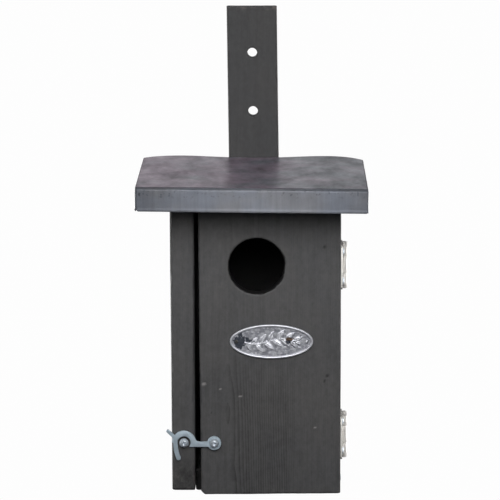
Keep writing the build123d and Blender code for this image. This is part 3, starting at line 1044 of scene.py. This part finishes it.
def cross_driven(node, axis, sign, radius):
    """Screws in a CAD node's shape, rounded, with a cross sunk in each head."""
    piece = cad_copy(node, node + "_steel")
    spots = []
    for shell in shells(piece):
        low, high = shell.min(axis=0) / MM, shell.max(axis=0) / MM
        spot = (low + high) / 2
        spot[axis] = high[axis] if sign > 0 else low[axis]
        spots.append(spot)
    cutter = cross_cutter(node + "_cutter", spots, axis, sign, radius)
    round_edges(piece, HEAD_ROUNDING, 2)
    sunk = piece.modifiers.new("cross", "BOOLEAN")
    sunk.operation = "DIFFERENCE"
    sunk.solver = "EXACT"
    sunk.object = cutter
    apply_modifiers(piece)
    bpy.data.objects.remove(cutter)
    return stand_for(sharpen(piece, 40), screw_metal, node)


def left_of_plate(look, axes):
    """Stain over the pin in the plate's dark left end, and none over the other."""
    low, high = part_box("oval_plate")
    middle = (low.x + high.x) / 2 / MM
    return look.step(middle, middle - 1.0, axes[0])


def hinge_ends(end):
    """Stain smeared over a hinge's top and bottom."""
    low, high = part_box(f"{end}_hinge_wall_leaf")
    middle, half = (low.z + high.z) / 2 / MM, (high.z - low.z) / 2 / MM

    def amount(look, axes):
        off_middle = look.math("ABSOLUTE", look.math("SUBTRACT", axes[2], middle))
        return look.times(look.step(half - STAIN_FROM_END, half - 1.0, off_middle), STAIN_STRENGTH)

    return amount


plated = worn_metal("bright_zinc_plate", (0.375, 0.45, 0.51), 0.40, metallic=0.45, mottle=0.16)
screw_metal = worn_metal("screw_zinc_plate", (0.50, 0.55, 0.60), 0.36, metallic=0.6, mottle=0.14)
pin_metal = worn_metal("pin_pewter", (0.60, 0.60, 0.63), 0.30, stained=left_of_plate)
hinge_metals = {
    end: worn_metal(
        f"{end}_brassed_steel",
        (0.84, 0.815, 0.775),
        0.42,
        metallic=0.4,
        mottle=0.12,
        stained=hinge_ends(end),
    )
    for end in ("upper", "lower")
}

rounded("latch_hook", "hook_steel", HOOK_ROUNDING, plated)
for end, metal in hinge_metals.items():
    rounded(f"{end}_hinge_wall_leaf", f"{end}_wall_leaf_steel", LEAF_ROUNDING, metal)
    rounded(f"{end}_hinge_door_leaf", f"{end}_door_leaf_steel", LEAF_ROUNDING, metal)
    rounded(f"{end}_hinge_pin", f"{end}_pin_steel", HINGE_PIN_ROUNDING, metal)

for node in ("latch_pivot_screw", "latch_catch_screw"):
    cross_driven(node, axis=1, sign=-1, radius=2.7)
for node in ("hinge_wall_screws", "hinge_door_screws"):
    cross_driven(node, axis=0, sign=1, radius=2.3)
cross_driven("batten_screws", axis=1, sign=1, radius=3.0)
for node in ("cover_nails", "wall_nails", "floor_nails", "roof_nails"):
    rounded(node, node + "_steel", HEAD_ROUNDING, plated, segments=2)
rounded("plate_pins", "plate_pins_metal", PLATE_PIN_ROUNDING, pin_metal, segments=2)


# Stage, lights and camera. Lengths here are metres

FLOOR_DROP = 0.25
FLOOR_HALF_SIZE = 8.0
BACKDROP_WHITE = 0.985
KEY_DISTANCE = 0.62
KEY_ELEVATION = math.radians(41)
CAMERA_AZIMUTH = math.radians(0.45)
CAMERA_ELEVATION = math.radians(7.0)
CAMERA_DISTANCE = 2.156
CAMERA_TARGET = (-0.00113, -0.1170, -0.08834)
CAMERA_LENS = 270.72


def white_to_camera(tree, lit, kind):
    """Plain white where it is looked at straight, and its own light everywhere else."""
    path = tree.nodes.new("ShaderNodeLightPath")
    white = tree.nodes.new(kind)
    white.inputs["Color"].default_value = (1, 1, 1, 1)
    white.inputs["Strength"].default_value = BACKDROP_WHITE
    mix = tree.nodes.new("ShaderNodeMixShader")
    tree.links.new(path.outputs["Is Camera Ray"], mix.inputs[0])
    tree.links.new(lit, mix.inputs[1])
    tree.links.new(white.outputs[0], mix.inputs[2])
    return mix.outputs[0]


def pale_floor():
    """A wide pale floor, well below the hanging box."""
    half = FLOOR_HALF_SIZE / MM
    height = cad_box[0].z / MM - FLOOR_DROP / MM
    signs = [(-1, -1), (1, -1), (1, 1), (-1, 1)]
    corners = [(x * half, y * half, height) for x, y in signs]
    floor = piece_from("floor", corners, [(0, 1, 2, 3)])
    pale = bpy.data.materials.new("pale_floor")
    pale.use_nodes = True
    shader = pale.node_tree.nodes["Principled BSDF"]
    shader.inputs["Base Color"].default_value = (0.22, 0.22, 0.224, 1)
    shader.inputs["Roughness"].default_value = 0.9
    surface = white_to_camera(pale.node_tree, shader.outputs[0], "ShaderNodeEmission")
    pale.node_tree.links.new(surface, pale.node_tree.nodes["Material Output"].inputs["Surface"])
    floor.data.materials.append(pale)


def studio_walls(front, around, above):
    """A dim room in front of the object, bright walls at its sides and behind it, and a ceiling."""
    world = bpy.data.worlds.new("studio")
    bpy.context.scene.world = world
    world.use_nodes = True
    tree = world.node_tree
    place = tree.nodes.new("ShaderNodeTexCoord")
    axes = tree.nodes.new("ShaderNodeSeparateXYZ")
    tree.links.new(place.outputs["Generated"], axes.inputs[0])

    def ramp(value, start, end, low, high):
        made = tree.nodes.new("ShaderNodeMapRange")
        made.interpolation_type = "SMOOTHSTEP"
        tree.links.new(value, made.inputs["Value"])
        made.inputs["From Min"].default_value = start
        made.inputs["From Max"].default_value = end
        for name, level in (("To Min", low), ("To Max", high)):
            if isinstance(level, bpy.types.NodeSocket):
                tree.links.new(level, made.inputs[name])
            else:
                made.inputs[name].default_value = level
        return made.outputs[0]

    walls = ramp(axes.outputs[1], -0.55, 0.05, front, around)
    strength = ramp(axes.outputs[2], 0.30, 0.75, walls, above)
    ambient = tree.nodes["Background"]
    ambient.inputs["Color"].default_value = (0.97, 0.98, 1.0, 1)
    tree.links.new(strength, ambient.inputs["Strength"])
    surface = white_to_camera(tree, ambient.outputs[0], "ShaderNodeBackground")
    tree.links.new(surface, tree.nodes["World Output"].inputs["Surface"])


def softbox(name, place, target, width, height, energy, spread=180):
    light = bpy.data.lights.new(name, "AREA")
    light.shape = "RECTANGLE"
    light.size, light.size_y = width, height
    light.energy = energy
    light.spread = math.radians(spread)
    holder = bpy.data.objects.new(name, light)
    holder.visible_camera = False
    holder.location = place
    holder.rotation_euler = (Vector(target) - Vector(place)).to_track_quat("-Z", "Y").to_euler()
    bpy.context.scene.collection.objects.link(holder)


def camera():
    level = math.cos(CAMERA_ELEVATION)
    back = Vector(
        (
            math.sin(CAMERA_AZIMUTH) * level,
            -math.cos(CAMERA_AZIMUTH) * level,
            math.sin(CAMERA_ELEVATION),
        )
    )
    data = bpy.data.cameras.new("camera")
    data.lens = CAMERA_LENS
    data.sensor_width = 36.0
    data.clip_start, data.clip_end = 0.05, 60.0
    eye = bpy.data.objects.new("camera", data)
    eye.location = Vector(CAMERA_TARGET) + back * CAMERA_DISTANCE
    eye.rotation_euler = (-back).to_track_quat("-Z", "Y").to_euler()
    bpy.context.scene.collection.objects.link(eye)
    bpy.context.scene.camera = eye


pale_floor()
studio_walls(front=0.09, around=0.77, above=0.20)
middle = (cad_box[0] + cad_box[1]) / 2
front = cad_box[0].y
key = Vector((0.0, -math.cos(KEY_ELEVATION), math.sin(KEY_ELEVATION))) * KEY_DISTANCE
key_place = Vector((0.0, front, entry_low[2])) + key
softbox("key", key_place, (0.0, front, 0.05), width=0.80, height=0.62, energy=2.02, spread=72)
softbox("back_fill", (-0.5, 1.4, -0.33), middle, width=2.4, height=0.26, energy=19)
for name, side in (("right_fill", 1), ("left_fill", -1)):
    softbox(name, (side * 1.15, 0.75, -0.2), middle, width=1.8, height=0.56, energy=14)
camera()

bpy.context.scene.view_settings.view_transform = "Standard"
